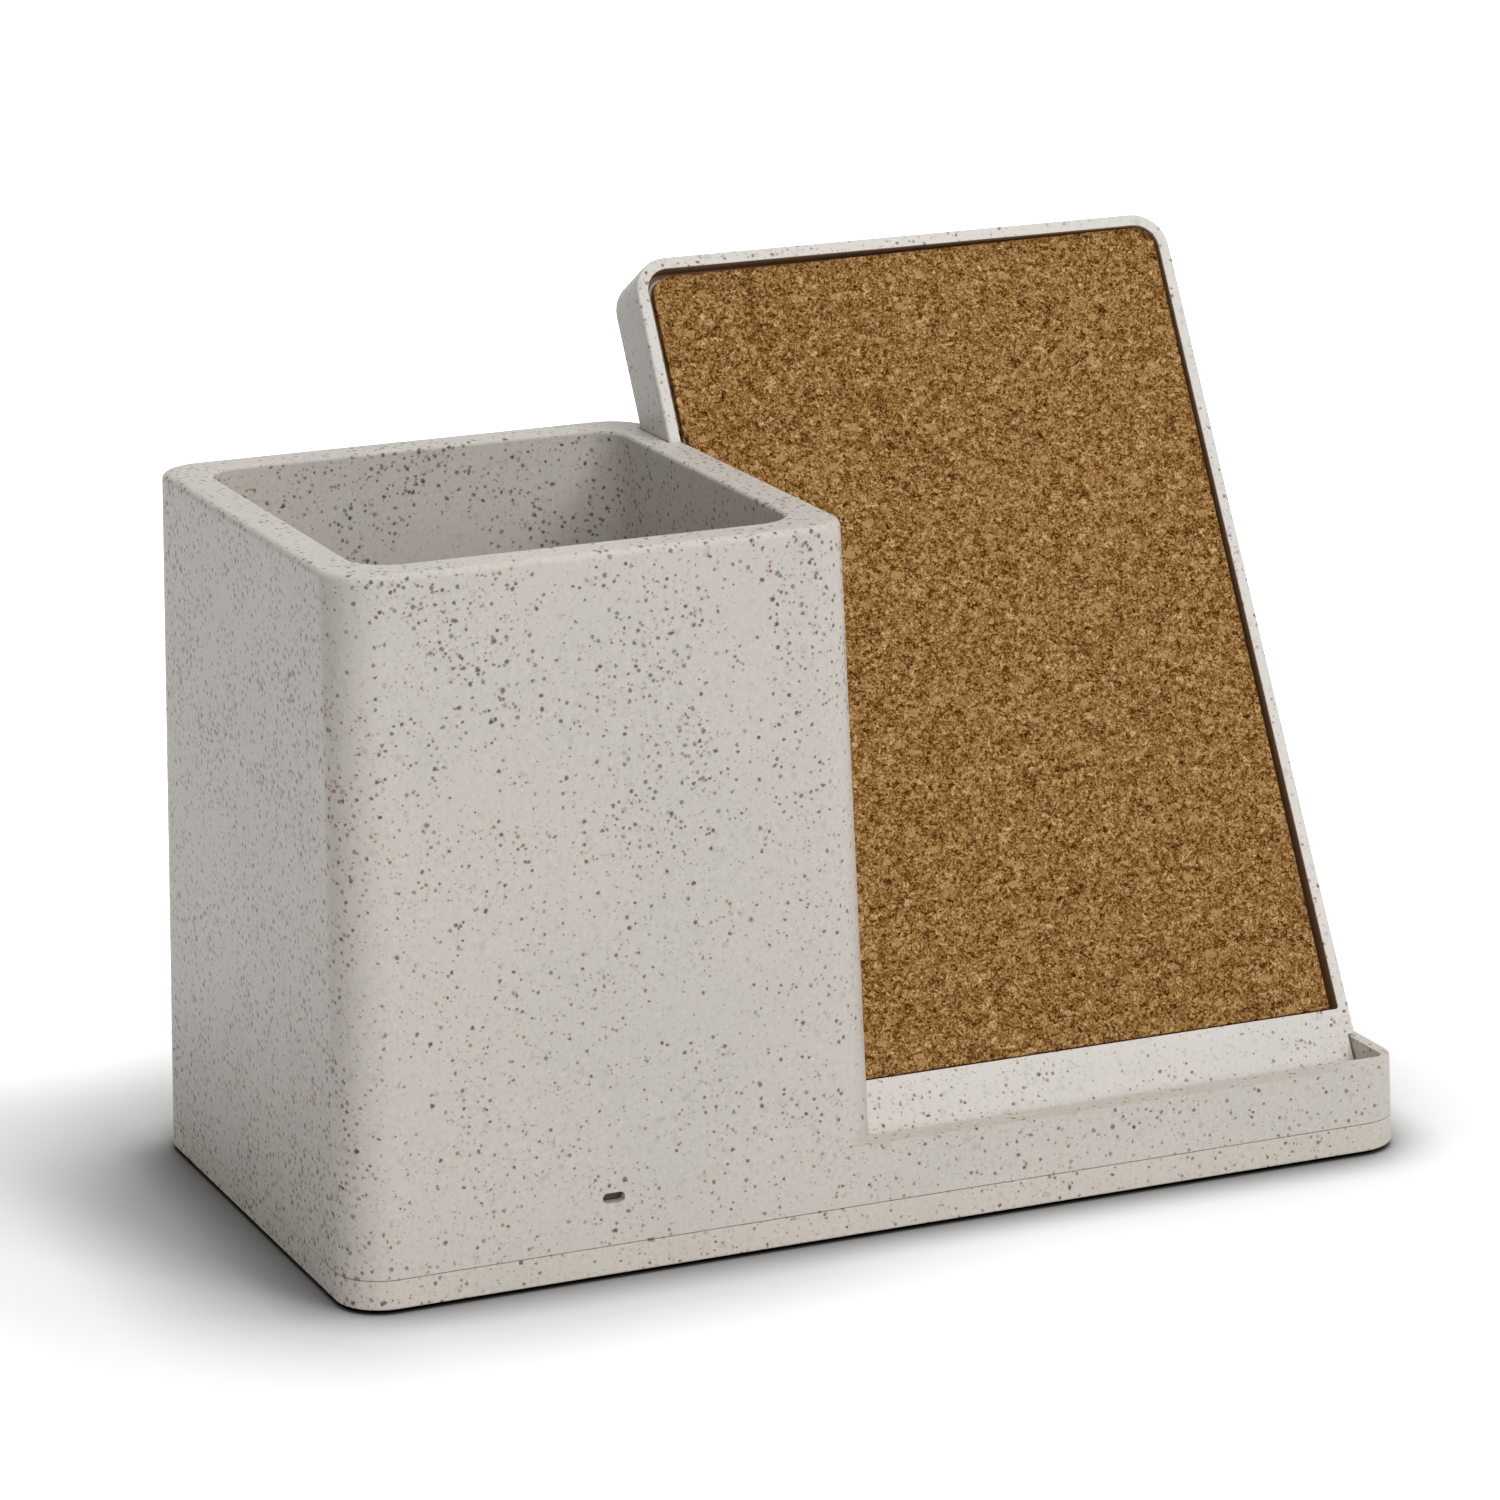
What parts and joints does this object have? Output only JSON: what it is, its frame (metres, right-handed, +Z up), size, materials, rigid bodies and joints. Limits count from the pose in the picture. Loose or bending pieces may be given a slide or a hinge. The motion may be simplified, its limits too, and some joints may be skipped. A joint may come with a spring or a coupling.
{
  "type": "wireless charger pen holder",
  "caption": "Desk organiser with a square pen cup, a low tray with a lip and a leaning cork-faced stand that charges a phone without a plug.",
  "frame": {"origin": "the middle of the footprint, on the surface that the rubber feet stand on", "axes": "+X along the front from the pen cup to the tray's open end, +Y towards the back, +Z up; the front face looks along -Y"},
  "size_m": [0.1518, 0.0802, 0.118],
  "materials": {
    "body_plastic": "satin moulded stone-look plastic with brown, rust and grey speckles",
    "cover_plastic": "satin moulded stone-look plastic, slightly warmer, with fewer speckles",
    "stand_plastic": "satin moulded stone-look plastic, slightly paler, speckled",
    "foot_rubber": "matt black rubber",
    "screw_steel": "zinc plated steel",
    "adhesive_paper": "thin double-sided adhesive sheet",
    "cork": "pressed cork granules, light and dark brown",
    "coil_copper": "enamelled copper winding",
    "ferrite": "dull dark grey sintered plate",
    "carrier_plastic": "plain white moulded plastic",
    "board_laminate": "green coated glass-fibre laminate",
    "inlet_steel": "bright drawn steel shell",
    "chip_resin": "black moulding resin",
    "capacitor_ceramic": "tan ceramic block",
    "lamp_resin": "clear-white epoxy",
    "guide_plastic": "smoky translucent plastic",
    "lead_enamel": "red-brown insulated wire"
  },
  "bodies": {
    "root": {"upper_shell": "body_plastic", "bottom_cover": "cover_plastic", "rubber_foot_1": "foot_rubber", "rubber_foot_2": "foot_rubber", "rubber_foot_3": "foot_rubber", "rubber_foot_4": "foot_rubber", "cover_screw_1": "screw_steel", "cover_screw_2": "screw_steel", "cover_screw_3": "screw_steel", "cover_screw_4": "screw_steel", "cover_screw_5": "screw_steel", "stand_frame": "stand_plastic", "stand_back_cover": "stand_plastic", "adhesive_sheet": "adhesive_paper", "cork_pad": "cork", "coil_winding": "coil_copper", "ferrite_plate": "ferrite", "coil_carrier": "carrier_plastic", "stand_screw_1": "screw_steel", "stand_screw_2": "screw_steel", "circuit_board": "board_laminate", "board_screw_1": "screw_steel", "board_screw_2": "screw_steel", "board_screw_3": "screw_steel", "board_screw_4": "screw_steel", "cable_inlet": "inlet_steel", "controller_chip": "chip_resin", "power_inductor": "chip_resin", "resonance_capacitor_1": "capacitor_ceramic", "resonance_capacitor_2": "capacitor_ceramic", "resonance_capacitor_3": "capacitor_ceramic", "indicator_lamp": "lamp_resin", "light_guide": "guide_plastic", "coil_lead_1": "lead_enamel", "coil_lead_2": "lead_enamel"}
  },
  "joints": []
}
